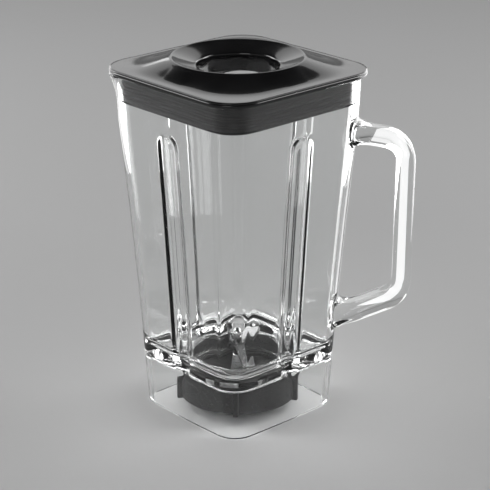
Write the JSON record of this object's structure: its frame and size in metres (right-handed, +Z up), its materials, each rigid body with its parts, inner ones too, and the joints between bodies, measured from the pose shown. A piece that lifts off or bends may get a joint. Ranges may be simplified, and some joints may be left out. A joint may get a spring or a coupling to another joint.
{
  "type": "blender jug",
  "caption": "Square glass blender jug with a solid glass handle, a black lid with an open filler hole, and a twist-off blade unit that a motor base drives from below.",
  "frame": {"origin": "on the jug's axis, in the plane of the bottom rim that the jug stands on", "axes": "+Z up along the jug's axis, +X towards the handle, -X towards the pouring spout"},
  "size_m": [0.1899, 0.1582, 0.232],
  "materials": {
    "jug_glass": "gloss",
    "lid_plastic": "gloss",
    "gasket_rubber": "satin",
    "base_plastic": "satin",
    "seal_rubber": "satin",
    "housing_steel": "polished",
    "washer_steel": "brushed",
    "nut_steel": "polished",
    "bush_bronze": "satin",
    "shaft_steel": "ground",
    "blade_steel": "satin",
    "clip_steel": "dark",
    "coupling_plastic": "satin"
  },
  "bodies": {
    "jug": {"glass_jug": "jug_glass"},
    "lid": {"lid_cover": "lid_plastic", "lid_gasket": "gasket_rubber"},
    "blade_unit": {"blade_base": "base_plastic", "jug_seal": "seal_rubber", "bearing_housing": "housing_steel", "housing_seal": "seal_rubber", "housing_washer": "washer_steel", "housing_nut": "nut_steel", "upper_bush": "bush_bronze", "lower_bush": "bush_bronze", "shaft_seal": "seal_rubber"},
    "spindle": {"blade_shaft": "shaft_steel", "blade_spacer": "washer_steel", "lower_blade": "blade_steel", "upper_blade": "blade_steel", "nut_washer": "washer_steel", "dome_nut": "nut_steel", "retaining_ring": "clip_steel", "drive_coupling": "coupling_plastic"}
  },
  "joints": [
    {"name": "lid_lift", "type": "slide", "parent": "jug", "child": "lid", "axis": [0, 0, 1], "range_m": [0, 0.1]},
    {"name": "blade_unit_twist", "type": "hinge", "parent": "jug", "child": "blade_unit", "pos_m": [0, 0, 0.03], "axis": [0, 0, -1], "range_deg": [0, 60]},
    {"name": "blade_spin", "type": "hinge", "parent": "blade_unit", "child": "spindle", "pos_m": [0, 0, 0.03], "axis": [0, 0, 1], "continuous": true}
  ]
}
